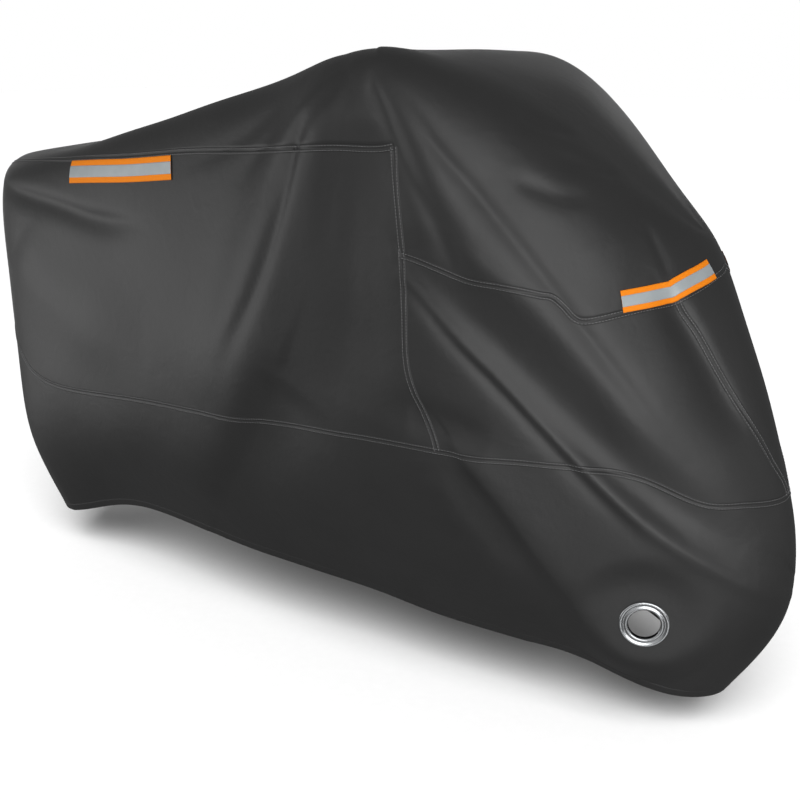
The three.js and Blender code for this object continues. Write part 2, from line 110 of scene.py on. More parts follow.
# control net, 11 sections by 7 levels, with mirrored neighbours over tail, nose and ridge
def controlNet():
    x, xBelly, xHem, zTop, zEdge, zHem, yCrown, yEdge, yBelt, yWaist, yHem = sections.T * mm
    zero = 0 * x
    rows = [
        (x, zero, zTop),
        (x, -yCrown, mix(zTop, zEdge, 0.3)),
        (mix(x, xBelly, 0.12), -yEdge, zEdge),
        (mix(x, xBelly, 0.52), -mix(yEdge, yBelt, 0.55), mix(zEdge, zHem, 0.27)),
        (mix(x, xBelly, 0.82), -yBelt, mix(zEdge, zHem, 0.52)),
        (xBelly, -yWaist, mix(zEdge, zHem, 0.78)),
        (xHem, -yHem, zHem),
    ]
    net = np.array(rows).transpose(2, 0, 1)
    flip = np.array((1, -1, 1))
    net = np.concatenate([net[1:2] * flip, net, net[-2:-1] * flip])
    return np.concatenate([net[:, 1:2] * flip, net, 2 * net[:, -1:] - net[:, -2:-1]], axis=1)


net = controlNet()


def splineWeights(f):
    return ((1 - f)**3 / 6, (3 * f**3 - 6 * f**2 + 4) / 6, (-3 * f**3 + 3 * f**2 + 3 * f + 1) / 6, f**3 / 6)


# side is -1 or 1 for each point
def smoothDrape(s, t, side):
    s, t, side = np.broadcast_arrays(np.asarray(s, float), t, side)
    i = np.minimum(np.floor(s).astype(int), lastSection - 1)
    j = np.minimum(np.floor(t).astype(int), hemLevel - 1)
    point = np.zeros(s.shape + (3,))
    for a, ws in enumerate(splineWeights(s - i)):
        for b, wt in enumerate(splineWeights(t - j)):
            point += net[i + a, j + b] * (ws * wt)[..., None]
    point[..., 1] *= -side
    return point


def unit(v):
    return v / np.maximum(np.linalg.norm(v, axis=-1, keepdims=True), 1e-12)


def smoothNormal(s, t, side):
    step = 0.02
    sc = np.clip(s, 2 * step, lastSection - 2 * step)
    tc = np.clip(t, 2 * step, hemLevel - step)
    ds = smoothDrape(sc + step, tc, side) - smoothDrape(sc - step, tc, side)
    dt = smoothDrape(sc, tc + step, side) - smoothDrape(sc, tc - step, side)
    normal = np.cross(dt, ds) * -np.broadcast_to(side, np.shape(ds)[:-1])[..., None]
    onCentre = (s <= 0) | (s >= lastSection) | (t <= 0)
    normal[..., 1] = np.where(onCentre, 0, normal[..., 1])
    return unit(normal)


origin = smoothDrape(restSection, 0, right) - smoothNormal(np.array(restSection), np.array(0.0), right) * solidCloth * mm

# Folds, each a crest through a few (s, t) points: side, height outward in mm, half width in mm to
# the left and to the right of the crest, growth of the width from start to end, roundness
# (2 soft, nearer 1 a crisp crease).
folds = [
    # right side, fanning forward from the bar end; left width is on the upper nose side of a crest
    ("shieldEdge", right, 9, 40, 44, 1.4, 2, [
        (6.36, 1.69), (6.82, 1.97), (7.27, 2.14), (7.68, 2.3), (8.09, 2.41), (8.52, 2.49), (8.81, 2.46)]),
    ("barCrease", right, -12, 13, 13, 1.8, 1.6, [(6.12, 1.9), (6.38, 2.3), (6.57, 2.6), (6.88, 2.95), (7.0, 3.2)]),
    ("middleRidge", right, 16, 70, 30, 1.6, 1.9, [
        (6.3, 1.9), (6.5, 2.35), (6.77, 2.77), (7.03, 2.92), (7.37, 3.03), (7.69, 3.14), (7.99, 3.31), (8.26, 3.51),
        (8.5, 3.72), (8.9, 3.95), (9.35, 4.24)]),
    ("longCrease", right, -4.5, 9, 12, 1.5, 1.4, [
        (6.25, 1.85), (6.82, 2.36), (7.17, 2.57), (7.5, 2.78), (7.8, 2.99), (8.15, 3.28), (8.42, 3.53), (8.75, 3.86)]),
    ("wideValley", right, -15, 42, 20, 1.5, 2, [
        (6.48, 3.18), (6.67, 3.33), (7.07, 3.55), (7.46, 3.78), (7.82, 3.99), (8.16, 4.15), (8.52, 4.31), (8.92, 4.47),
        (9.5, 4.66)]),
    ("skirtRidge", right, 11, 26, 12, 1.4, 1.7, [
        (6.4, 3.22), (6.9, 3.54), (7.27, 3.75), (7.64, 4.0), (8.01, 4.25), (8.4, 4.45), (8.75, 4.56), (9.16, 4.67),
        (9.7, 4.8)]),
    ("sharpCrease", right, -5, 9, 11, 1.3, 1.5, [
        (6.44, 3.32), (6.85, 3.58), (7.24, 3.82), (7.6, 4.06), (7.99, 4.34), (8.28, 4.54)]),
    ("lineRidge", right, 12, 40, 11, 1.7, 1.6, [(6.76, 4.26), (7.17, 4.62), (7.54, 5.06), (8.0, 5.64)]),
    ("darkSpot", right, -9, 30, 34, 1.0, 2, [(6.3, 4.14), (6.7, 4.17), (7.1, 4.24)]),
    ("noseBand", right, -12, 16, 24, 1.4, 1.8, [(8.99, 2.55), (9.13, 2.84), (9.25, 3.13), (9.42, 3.56)]),
    ("stripCrease", right, -3, 8, 8, 1.3, 1.6, [(9.0, 2.0), (9.07, 2.3), (9.08, 2.43)]),
    ("hemRoll", right, 5, 26, 30, 1.3, 2, [(6.51, 4.51), (6.73, 4.85), (7.18, 5.38)]),
    # right side, fanning back and down from the bar end
    ("leftRidge", right, 24, 78, 70, 1.4, 2, [
        (5.87, 1.91), (5.56, 2.22), (5.28, 2.46), (5.03, 2.81), (4.8, 3.21), (4.54, 3.73), (4.26, 4.19), (3.97, 4.48)]),
    ("leftGroove", right, -6, 10, 10, 1.8, 1.6, [(5.42, 2.3), (5.02, 2.94), (4.72, 3.43), (4.28, 4.03)]),
    ("sideValley", right, -15, 66, 46, 1.5, 2, [(6.1, 2.28), (6.0, 2.65), (5.9, 3.15), (5.78, 3.7), (5.6, 4.2)]),
    ("lowFold", right, -15, 95, 30, 1.5, 1.8, [(4.85, 4.05), (4.7, 4.3), (4.45, 4.7), (4.15, 5.2), (3.95, 5.6)]),
    ("fanA", right, -3.5, 11, 11, 1.5, 1.8, [(5.82, 1.81), (5.5, 2.01), (4.99, 2.32), (4.5, 2.67)]),
    ("fanC", right, -4, 11, 12, 1.5, 1.8, [(5.88, 1.97), (5.49, 2.28), (5.14, 2.58), (4.9, 2.9)]),
    ("fanD", right, -3.5, 11, 12, 1.6, 1.8, [(5.6, 1.8), (5.08, 2.1), (4.53, 2.33), (4.0, 2.45)]),
    ("fanE", right, -3, 11, 11, 1.6, 1.8, [(5.98, 2.0), (5.8, 2.45), (5.63, 2.76), (5.45, 3.2)]),
    ("skirtTuck", right, -26, 140, 140, 1.0, 2, [(1.6, 6.0), (3.0, 6.0), (4.0, 6.0), (5.5, 6.0), (7.0, 6.0)]),
    ("dashHigh", right, -4, 12, 12, 1.0, 1.6, [(7.7, 1.75), (8.0, 1.6), (8.3, 1.3)]),
    ("dashMiddle", right, -4, 12, 12, 1.0, 1.6, [(8.1, 1.95), (8.5, 1.7), (8.8, 1.35)]),
    ("dashLow", right, -4, 12, 12, 1.0, 1.6, [(7.6, 2.4), (8.0, 2.33), (8.4, 2.15)]),
    ("tailCrease", right, -9, 14, 24, 1.2, 1.6, [(1.3, 1.88), (2.31, 2.32), (2.94, 2.66), (3.46, 2.83)]),
    ("tailBulge", right, 9, 76, 76, 1.2, 2, [(1.75, 2.66), (2.12, 3.07), (2.69, 3.55), (3.4, 3.85)]),
    # left side, which the photo does not show
    ("farBarRidge", left, 11, 22, 12, 2.4, 2, [(6.2, 1.95), (6.45, 2.3), (6.7, 2.7), (7.1, 3.5)]),
    ("farBarCrease", left, -8, 10, 12, 1.8, 1.5, [(6.12, 2.0), (6.35, 2.5), (6.55, 2.9), (6.8, 3.4)]),
    ("farLongBand", left, 11, 22, 26, 1.5, 2, [(6.45, 2.05), (7.5, 2.95), (8.0, 3.4), (8.5, 3.95)]),
    ("farLongCrease", left, -8, 10, 10, 1.5, 1.4, [(6.5, 1.95), (7.2, 2.45), (7.9, 3.0), (8.7, 3.6)]),
    ("farValley", left, -16, 32, 32, 1.5, 2, [(6.3, 3.0), (6.7, 3.35), (7.1, 3.75), (8.1, 4.5)]),
    ("farRidge", left, 10, 20, 24, 2.0, 2, [(5.5, 2.2), (5.25, 2.7), (5.0, 3.3), (4.4, 4.6)]),
    ("farGroove", left, -6, 10, 10, 1.8, 1.6, [(5.6, 2.4), (5.4, 2.9), (5.15, 3.5), (4.7, 4.3)]),
    ("farLowFold", left, -12, 20, 22, 1.6, 1.8, [(4.1, 4.1), (3.95, 4.45), (3.8, 4.8), (3.4, 5.5)]),
    ("farTailCrease", left, -10, 14, 14, 1.2, 1.7, [(1.6, 2.2), (2.5, 2.75), (3.0, 2.95), (3.4, 3.05)]),
]
foldSteps = 28


def foldPath(side, knots):
    knots = np.array(knots)
    at = np.linspace(0, len(knots) - 1, foldSteps + 1)
    index = np.arange(len(knots))
    s = along(np.c_[index, knots[:, 0]], at)
    t = along(np.c_[index, knots[:, 1]], at)
    return smoothDrape(s, t, side), smoothNormal(s, t, side)


foldPaths = [foldPath(side, knots) for _, side, *_, knots in folds]


def foldHeight(point):
    height = np.zeros(len(point))
    for (_, side, rise, leftWidth, rightWidth, growth, roundness, _), (path, normal) in zip(folds, foldPaths):
        reach = 3 * max(leftWidth, rightWidth) * growth * mm
        near = np.all((point > path.min(0) - reach) & (point < path.max(0) + reach), axis=1)
        if not near.any():
            continue
        off = point[near][:, None] - path[:-1]
        step = path[1:] - path[:-1]
        f = np.clip((off * step).sum(-1) / (step**2).sum(-1), 0, 1)
        miss = off - f[..., None] * step
        distance = np.linalg.norm(miss, axis=-1)
        best = distance.argmin(1)
        pick = np.arange(len(best))
        where = (best + f[pick, best]) / foldSteps
        towards = (np.cross(normal[best], step[best]) * miss[pick, best]).sum(-1)
        width = np.where(towards > 0, leftWidth, rightWidth) * mm * mix(1, growth, where)
        rounded = np.sqrt((distance[pick, best] / width)**2 + 0.02) - math.sqrt(0.02)
        fade = smooth(-0.12, 0.2, where) * (1 - smooth(0.7, 1.1, where))
        height[near] += rise * mm * fade * np.exp(-rounded**roundness)
    return height


# Slow unevenness of cloth that hangs free: a few crossed waves.
unevenness = {"rise": 0.9, "waves": [(2.1, 1.3, 2.9, 0.4), (-3.3, 2.2, 1.9, 2.2), (4.7, -2.9, 3.8, 4.1), (6.1, 5.2, -5.5, 1.2)]}


def wander(point):
    height = 0
    for kx, ky, kz, phase in unevenness["waves"]:
        height = height + np.sin(2 * math.pi * (point @ np.array((kx, ky, kz))) / 1.6 + phase)
    return unevenness["rise"] * mm * height / 2


def creased(s, t, side):
    point = smoothDrape(s, t, side)
    flat = point.reshape(-1, 3)
    height = (foldHeight(flat) + wander(flat)).reshape(point.shape[:-1] + (1,))
    return point + smoothNormal(s, t, side) * height


# Where an eyelet is pressed in, the cloth is drawn flat and leans up a little, in degrees.
eyelet = {
    "slopeReach": 0.35, "lean": 15, "flattenTo": 62 * mm, "fadeTo": 150 * mm, "hole": 32 * mm, "segments": 96,
    # radius and height of the ring's profile, outer face up, in mm
    "ring": [(28, -5.2), (33, -5.2), (33, -4.4), (29.2, -4.1), (29.2, 0.2), (43.2, 0.2), (44.2, 0.6), (44.5, 1.5),
             (43.7, 2.7), (42, 3.3), (40.2, 3.2), (38.6, 2.5), (37.2, 1.5), (35.8, 1.4), (34.6, 2.3), (33, 3.1),
             (31.2, 3.2), (29.4, 2.5), (28.3, 1.0)],
    "washer": [(29.7, -3.8), (40.6, -3.8), (41, -3.4), (41, -2.7), (40.6, -2.3), (29.7, -2.3)],
}


def eyeletFrame(side):
    s, reach = eyeletSection, eyelet["slopeReach"]
    t = mix(along(waistSeam, np.array(s)), hemLevel, eyeletLevel - 3)
    ds = creased(s + reach, t, side) - creased(s - reach, t, side)
    dt = creased(s, t + reach, side) - creased(s, t - reach, side)
    out = unit(np.cross(dt, ds) * -side)
    up = unit(-(dt - out * (dt @ out)))
    lean = math.radians(eyelet["lean"])
    out, up = out * math.cos(lean) + up * math.sin(lean), up * math.cos(lean) - out * math.sin(lean)
    return {"centre": creased(np.array(s), t, side), "out": out, "up": up, "across": np.cross(up, out)}


eyeletFrames = {side: eyeletFrame(side) for side in hands}


def drape(s, t, side):
    s, t, side = np.broadcast_arrays(np.asarray(s, float), t, side)
    point = creased(s, t, side)
    for hand, place in eyeletFrames.items():
        off = point - place["centre"]
        rise = off @ place["out"]
        radius = np.sqrt(np.maximum((off**2).sum(-1) - rise**2, 0))
        hold = (1 - smooth(eyelet["flattenTo"], eyelet["fadeTo"], radius)) * (side == hand)
        point = point - place["out"] * (rise * hold)[..., None]
    return point


# c is a column, q a level; either may run past the centre lines onto the other side
def placeOf(c, q, side):
    side = np.where((c < 0) | (c > lastColumn), -side, side) * np.where(q < 0, -1, 1)
    c = np.where(c > lastColumn, 2 * lastColumn - c, np.abs(c))
    q = np.minimum(np.abs(q), 4)
    s = np.zeros(np.shape(c))
    for (c0, before), (c1, after) in zip(columns, columns[1:]):
        here = (c >= c0) & (c <= c1)
        s = np.where(here, mix(along(before, q), along(after, q), (c - c0) / (c1 - c0)), s)
    s = np.minimum(s, lastSection)
    levels = np.array([0 * s, along(topSeam, s), along(middleSeam, s), along(waistSeam, s), 0 * s + hemLevel])
    n = np.minimum(np.floor(q).astype(int), 3)
    low = np.take_along_axis(levels, n[None], 0)[0]
    high = np.take_along_axis(levels, n[None] + 1, 0)[0]
    return s, np.clip(mix(low, high, q - n), 0, hemLevel), side


def surfaceAt(c, q, side):
    s, t, side = placeOf(*np.broadcast_arrays(np.asarray(c, float), np.asarray(q, float), side))
    return drape(s, t, side) - origin, smoothNormal(s, t, side)



# the true slope of the folded cloth, from four neighbours
def clothFrame(s, t, side):
    step = 0.012
    s = np.clip(s, step, lastSection - step)
    t = np.clip(t, step, hemLevel - step)
    ds = (drape(s + step, t, side) - drape(s - step, t, side)) / (2 * step)
    dt = (drape(s, t + step, side) - drape(s, t - step, side)) / (2 * step)
    out = unit(np.cross(dt, ds) * -np.broadcast_to(side, s.shape)[..., None])
    return ds, dt, out


print("drape ready")


# ---- materials ----
def linear(hexColour):
    parts = [int(hexColour[i:i + 2], 16) / 255 for i in (1, 3, 5)]
    return tuple(p / 12.92 if p <= 0.04045 else ((p + 0.055) / 1.055)**2.4 for p in parts) + (1,)


def addNode(tree, kind, settings=None, links=None):
    node = tree.nodes.new(kind)
    for name, value in (settings or {}).items():
        if isinstance(name, int) or name in node.inputs:
            node.inputs[name].default_value = value
        else:
            setattr(node, name, value)
    for name, source in (links or {}).items():
        tree.links.new(source, node.inputs[name])
    return node


def newMaterial(name, shader):
    material = bpy.data.materials.new(name)
    material.use_nodes = True
    tree = material.node_tree
    tree.nodes.clear()
    surface = addNode(tree, "ShaderNodeBsdfPrincipled", shader)
    addNode(tree, "ShaderNodeOutputMaterial", {}, {"Surface": surface.outputs["BSDF"]})
    return material, tree, surface


# Coated polyester taffeta, woven and rolled: nearly black, matte, with a soft sheen where it
# turns away, a faint mottle of the coating and small set-in crinkles.
def coatedPolyester():
    look = {
        "dark": "#272727", "light": "#303030",
        "threadSpacing": 1.8,         # mm; real threads lie 0.3 mm apart, drawn coarser so that they show
        "crinkleSize": 9, "crumpleSize": 42,        # mm
        "weaveRelief": 0.05, "crinkleRelief": 0.22, "crumpleRelief": 0.7,       # mm
    }
    material, tree, surface = newMaterial("coatedPolyester", {
        "Roughness": 0.48, "IOR": 1.5, "Specular IOR Level": 0.5, "Sheen Weight": 0.02, "Sheen Roughness": 0.45,
        "Sheen Tint": linear("#c9ccd2")})
    uv = addNode(tree, "ShaderNodeUVMap", {"uv_map": "weave"}).outputs["UV"]
    place = addNode(tree, "ShaderNodeTexCoord").outputs["Object"]
    waves = []
    for direction in ("X", "Y"):
        waves.append(addNode(tree, "ShaderNodeTexWave", {
            "wave_type": "BANDS", "bands_direction": direction, "wave_profile": "SIN",
            "Scale": 2 * math.pi / (20 * look["threadSpacing"] * mm), "Distortion": 0.6, "Detail": 1.0},
            {"Vector": uv}).outputs["Fac"])
    weave = addNode(tree, "ShaderNodeMath", {"operation": "MAXIMUM"}, {0: waves[0], 1: waves[1]}).outputs[0]
    crinkle = addNode(tree, "ShaderNodeTexNoise", {
        "Scale": 1 / (look["crinkleSize"] * mm), "Detail": 3.0, "Roughness": 0.55}, {"Vector": place}).outputs["Fac"]
    crumple = addNode(tree, "ShaderNodeTexNoise", {
        "Scale": 1 / (look["crumpleSize"] * mm), "Detail": 2.0, "Roughness": 0.5, "Distortion": 0.8},
        {"Vector": place}).outputs["Fac"]
    normal = None
    for height, relief in ((crumple, "crumpleRelief"), (crinkle, "crinkleRelief"), (weave, "weaveRelief")):
        links = {"Height": height}
        if normal:
            links["Normal"] = normal
        normal = addNode(tree, "ShaderNodeBump", {"Strength": 1.0, "Distance": look[relief] * mm}, links).outputs[0]
    mottle = addNode(tree, "ShaderNodeTexNoise", {"Scale": 7.0, "Detail": 4.0, "Roughness": 0.6}, {"Vector": place})
    colour = addNode(tree, "ShaderNodeMix", {"data_type": "RGBA"}, {"Factor": mottle.outputs["Fac"]})
    colour.inputs[6].default_value = linear(look["dark"])
    colour.inputs[7].default_value = linear(look["light"])
    tree.links.new(colour.outputs[2], surface.inputs["Base Color"])
    tree.links.new(normal, surface.inputs["Normal"])
    return material


# Spun polyester sewing thread, a light grey: two-ply, so each stitch has fine slanting ridges.
def sewingThread(name, dark, light):
    look = {"plySpacing": 0.9, "relief": 0.08}       # mm; the plies, drawn coarser than the real 0.3 mm
    material, tree, surface = newMaterial(name, {"Roughness": 0.7, "IOR": 1.5, "Sheen Weight": 0.2})
    place = addNode(tree, "ShaderNodeTexCoord").outputs["Object"]
    ply = addNode(tree, "ShaderNodeTexWave", {
        "bands_direction": "DIAGONAL", "Scale": 2 * math.pi / (20 * look["plySpacing"] * mm)}, {"Vector": place})
    colour = addNode(tree, "ShaderNodeMix", {"data_type": "RGBA"}, {"Factor": ply.outputs["Fac"]})
    colour.inputs[6].default_value = linear(dark)
    colour.inputs[7].default_value = linear(light)
    bump = addNode(tree, "ShaderNodeBump", {"Distance": look["relief"] * mm}, {"Height": ply.outputs["Fac"]})
    tree.links.new(colour.outputs[2], surface.inputs["Base Color"])
    tree.links.new(bump.outputs[0], surface.inputs["Normal"])
    return material


# Fluorescent orange grosgrain: woven crosswise ribs, so it keeps a fine ribbed, saturated matte look.
def orangeGrosgrain():
    look = {"deep": "#f58404", "bright": "#ff9808", "ribSpacing": 1.4, "relief": 0.12}
    material, tree, surface = newMaterial("orangeGrosgrain", {"Roughness": 0.65, "IOR": 1.5, "Specular IOR Level": 0.3, "Sheen Weight": 0.02})
    uv = addNode(tree, "ShaderNodeUVMap", {"uv_map": "weave"}).outputs["UV"]
    rib = addNode(tree, "ShaderNodeTexWave", {
        "bands_direction": "X", "Scale": 2 * math.pi / (20 * look["ribSpacing"] * mm)}, {"Vector": uv})
    mottle = addNode(tree, "ShaderNodeTexNoise", {"Scale": 160.0, "Detail": 3.0}, {"Vector": uv})
    both = addNode(tree, "ShaderNodeMath", {"operation": "MULTIPLY"}, {0: rib.outputs["Fac"], 1: mottle.outputs["Fac"]})
    colour = addNode(tree, "ShaderNodeMix", {"data_type": "RGBA"}, {"Factor": both.outputs[0]})
    colour.inputs[6].default_value = linear(look["deep"])
    colour.inputs[7].default_value = linear(look["bright"])
    bump = addNode(tree, "ShaderNodeBump", {"Distance": look["relief"] * mm}, {"Height": rib.outputs["Fac"]})
    tree.links.new(colour.outputs[2], surface.inputs["Base Color"])
    tree.links.new(bump.outputs[0], surface.inputs["Normal"])
    return material


# Retroreflective film: glass beads bonded in a grey resin, dull silver by daylight with a fine grain.
def beadedFilm():
    look = {"grey": "#9ca3a6", "pale": "#b0b6b8", "beadSize": 1.1, "relief": 0.03}
    material, tree, surface = newMaterial("beadedFilm", {"Roughness": 0.42, "IOR": 1.5, "Metallic": 0.15})
    uv = addNode(tree, "ShaderNodeUVMap", {"uv_map": "weave"}).outputs["UV"]
    bead = addNode(tree, "ShaderNodeTexVoronoi", {"Scale": 1 / (look["beadSize"] * mm)}, {"Vector": uv})
    haze = addNode(tree, "ShaderNodeTexNoise", {"Scale": 35.0, "Detail": 4.0}, {"Vector": uv})
    colour = addNode(tree, "ShaderNodeMix", {"data_type": "RGBA"}, {"Factor": haze.outputs["Fac"]})
    colour.inputs[6].default_value = linear(look["grey"])
    colour.inputs[7].default_value = linear(look["pale"])
    bump = addNode(tree, "ShaderNodeBump", {"Distance": look["relief"] * mm}, {"Height": bead.outputs["Distance"]})
    tree.links.new(colour.outputs[2], surface.inputs["Base Color"])
    tree.links.new(bump.outputs[0], surface.inputs["Normal"])
    return material


# Nickel-plated pressed brass: bright and smooth, with faint polishing haze that breaks the highlight.
def platedMetal():
    look = {"tint": "#c4c6c8", "worn": "#a4a6a8", "haze": 14.0}
    material, tree, surface = newMaterial("platedMetal", {"Metallic": 1.0})
    place = addNode(tree, "ShaderNodeTexCoord").outputs["Object"]
    haze = addNode(tree, "ShaderNodeTexNoise", {"Scale": look["haze"], "Detail": 6.0, "Roughness": 0.65}, {"Vector": place})
    rough = addNode(tree, "ShaderNodeMapRange", {"To Min": 0.16, "To Max": 0.34}, {"Value": haze.outputs["Fac"]})
    colour = addNode(tree, "ShaderNodeMix", {"data_type": "RGBA"}, {"Factor": haze.outputs["Fac"]})
    colour.inputs[6].default_value = linear(look["tint"])
    colour.inputs[7].default_value = linear(look["worn"])
    tree.links.new(colour.outputs[2], surface.inputs["Base Color"])
    tree.links.new(rough.outputs[0], surface.inputs["Roughness"])
    return material


def seamlessPaper():
    material, tree, surface = newMaterial("seamlessPaper", {"Roughness": 0.9})
    place = addNode(tree, "ShaderNodeTexCoord").outputs["Object"]
    grain = addNode(tree, "ShaderNodeTexNoise", {"Scale": 60.0, "Detail": 3.0}, {"Vector": place})
    colour = addNode(tree, "ShaderNodeMix", {"data_type": "RGBA"}, {"Factor": grain.outputs["Fac"]})
    colour.inputs[6].default_value = linear("#f2f2f2")
    colour.inputs[7].default_value = linear("#f6f6f6")
    tree.links.new(colour.outputs[2], surface.inputs["Base Color"])
    return material


cloth = coatedPolyester()
paleThread = sewingThread("paleThread", "#7d7d7e", "#9a9a9b")
darkThread = sewingThread("darkThread", "#232427", "#34363a")
orangeThread = sewingThread("orangeThread", "#e07a12", "#ff9d2e")
orangeTape = orangeGrosgrain()
silverFilm = beadedFilm()
plated = platedMetal()
print("materials ready")


# ---- making pieces ----
def newPiece(name, mesh, material):
    piece = bpy.data.objects.new(name, mesh)
    bpy.context.scene.collection.objects.link(piece)
    mesh.materials.clear()
    mesh.materials.append(material)
    return piece


# a bmesh grid of columns by rows cells, whose corners count the cells from 0
def cellGrid(columnCells, rowCells):
    bm = bmesh.new()
    toCount = Matrix.Diagonal((columnCells / 2, rowCells / 2, 1, 1))
    toCount.translation = (columnCells / 2, rowCells / 2, 0)
    bmesh.ops.create_grid(bm, x_segments=columnCells, y_segments=rowCells, size=1, matrix=toCount)
    return bm


def coordinates(bm):
    return np.array([v.co for v in bm.verts])


def placeAt(bm, points):
    for vert, point in zip(bm.verts, points):
        vert.co = point


# weave coordinates in metres, kept at the corners so that a welded edge does not smear them
def paintWeave(bm, across, down):
    layer = bm.loops.layers.uv.new("weave")
    for face in bm.faces:
        for loop in face.loops:
            loop[layer].uv = (across[loop.vert.index], down[loop.vert.index])


def finishCloth(bm, name, thickness, material, outwardFrom=None):
    bmesh.ops.remove_doubles(bm, verts=bm.verts, dist=0.00002)
    bmesh.ops.recalc_face_normals(bm, faces=bm.faces)
    if outwardFrom is not None:
        vote = sum((f.calc_center_median() - Vector(outwardFrom)).dot(f.normal) * f.calc_area() for f in bm.faces)
        if vote < 0:
            bmesh.ops.reverse_faces(bm, faces=bm.faces)
    for face in bm.faces:
        face.smooth = True
    mesh = bpy.data.meshes.new(name)
    bm.to_mesh(mesh)
    bm.free()
    piece = newPiece(name, mesh, material)
    if thickness:
        wall = piece.modifiers.new("wall", "SOLIDIFY")
        wall.thickness = thickness
        wall.offset = -1
        wall.use_even_offset = False
    return piece


# ---- panels ----
panelMaking = {"cellsPerColumn": 7, "rows": (45, 28, 46, 62), "thickness": 1.0 * mm, "threadsAcross": 0.048}
rowLevels = np.concatenate([[0], np.cumsum(panelMaking["rows"])])        # row number at q 0, 1, 2, 3, 4
inside = (0, 0, -0.45)                 # a point well inside the cover


def panel(name, side, columnRange, levelRange, keep=None, hole=False):
    perColumn = panelMaking["cellsPerColumn"]
    c0, c1 = (c * perColumn for c in columnRange)
    low, high = (int(math.copysign(rowLevels[abs(q)], q)) for q in levelRange)
    bm = cellGrid(c1 - c0, high - low)
    grid = coordinates(bm)
    c = (grid[:, 0] + c0) / perColumn
    row = np.round(grid[:, 1]) + low
    q = np.sign(row) * np.interp(np.abs(row), rowLevels, range(5))
    points, _ = surfaceAt(c, q, side)
    if keep:
        bm.verts.ensure_lookup_table()
        drop = [f for f in bm.faces if not keep(
            sum(c[v.index] for v in f.verts) / 4, sum(q[v.index] for v in f.verts) / 4)]
    else:
        drop = []
    if hole:
        centre = eyeletFrames[side]["centre"] - origin
        cut = np.linalg.norm(points - centre, axis=1)
        drop += [f for f in bm.faces if np.mean([cut[v.index] for v in f.verts]) < eyelet["hole"] + 4 * mm]
    placeAt(bm, points)
    paintWeave(bm, c * panelMaking["threadsAcross"], q * 0.3)
    bmesh.ops.delete(bm, geom=drop, context="FACES")
    piece = finishCloth(bm, name, panelMaking["thickness"], cloth, inside)
    return piece


panels = {}
panels["top_panel"] = panel(
    "topPanelCloth", right, (0, lastColumn), (-2, 2), keep=lambda c, q: abs(q) < 1 or c > uprightColumn)
panels["nose_panel"] = panel("nosePanelCloth", right, (noseColumn, 2 * lastColumn - noseColumn), (2, 3))
for side, hand in hands.items():
    word = hand.capitalize()
    panels["rear_side_" + hand] = panel("rearSideCloth" + word, side, (0, uprightColumn), (1, 3))
    panels["front_side_" + hand] = panel("frontSideCloth" + word, side, (uprightColumn, noseColumn), (2, 3))
    panels["skirt_" + hand] = panel("skirtCloth" + word, side, (0, lastColumn), (3, 4), hole=True)
for node, piece in panels.items():
    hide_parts(node)
    print(node, len(piece.data.polygons), round(sum(f.area for f in piece.data.polygons), 4))
print("panels ready")


# ---- seams ----
# an evenly spaced path of (s, t) along columns and levels
def surfacePath(side, cs, qs, spacing):
    fine = 400
    at = np.linspace(0, 1, fine)
    c = np.interp(at, np.linspace(0, 1, len(cs)), cs)
    q = np.interp(at, np.linspace(0, 1, len(qs)), qs)
    s, t, _ = placeOf(c, q, np.full(fine, side))
    points = drape(s, t, side)
    length = np.concatenate([[0], np.cumsum(np.linalg.norm(np.diff(points, axis=0), axis=1))])
    count = max(2, int(round(length[-1] / spacing)))
    even = np.linspace(0, length[-1], count + 1)
    return np.interp(even, length, s), np.interp(even, length, t), even


# walks over the cloth from (s, t), square to the path, by a distance for each row
def walk(path, side, distances, stride=8 * mm):
    distance = np.array(distances, float)[:, None] * mm
    s, t = (np.repeat(values[None], len(distance), axis=0) for values in path[:2])
    along0 = unit(np.gradient(drape(path[0], path[1], side), axis=0))
    heading = unit(np.cross(clothFrame(path[0], path[1], side)[2], along0))[None]
    steps = max(1, int(math.ceil(abs(distance).max() / stride)))
    for _ in range(steps):
        ds, dt, out = clothFrame(s, t, side)
        heading = unit(heading - out * (heading * out).sum(-1, keepdims=True))
        a, b, d = (ds * ds).sum(-1), (ds * dt).sum(-1), (dt * dt).sum(-1)
        e, f = (heading * ds).sum(-1), (heading * dt).sum(-1)
        scale = distance / steps / np.maximum(a * d - b * b, 1e-9)
        s = np.clip(s + (e * d - f * b) * scale, 0, lastSection)
        t = np.clip(t + (f * a - e * b) * scale, 0, hemLevel)
    return drape(s, t, side) - origin, clothFrame(s, t, side)[2]


# a band along a path: profile is a list of (distance across in mm, height in mm)
def band(name, side, path, profile, material, thickness=0):
    bm = cellGrid(len(path[0]) - 1, len(profile) - 1)
    grid = np.round(coordinates(bm)).astype(int)
    across, height = np.array(profile, float).T
    points, out = walk(path, side, across)
    points = points + out * height[:, None, None] * mm
    placeAt(bm, points[grid[:, 1], grid[:, 0]])
    reach = np.concatenate([[0], np.cumsum(np.hypot(np.diff(across), np.diff(height)) * mm)])
    paintWeave(bm, path[2][grid[:, 0]], reach[grid[:, 1]])
    return finishCloth(bm, name, thickness, material, inside)


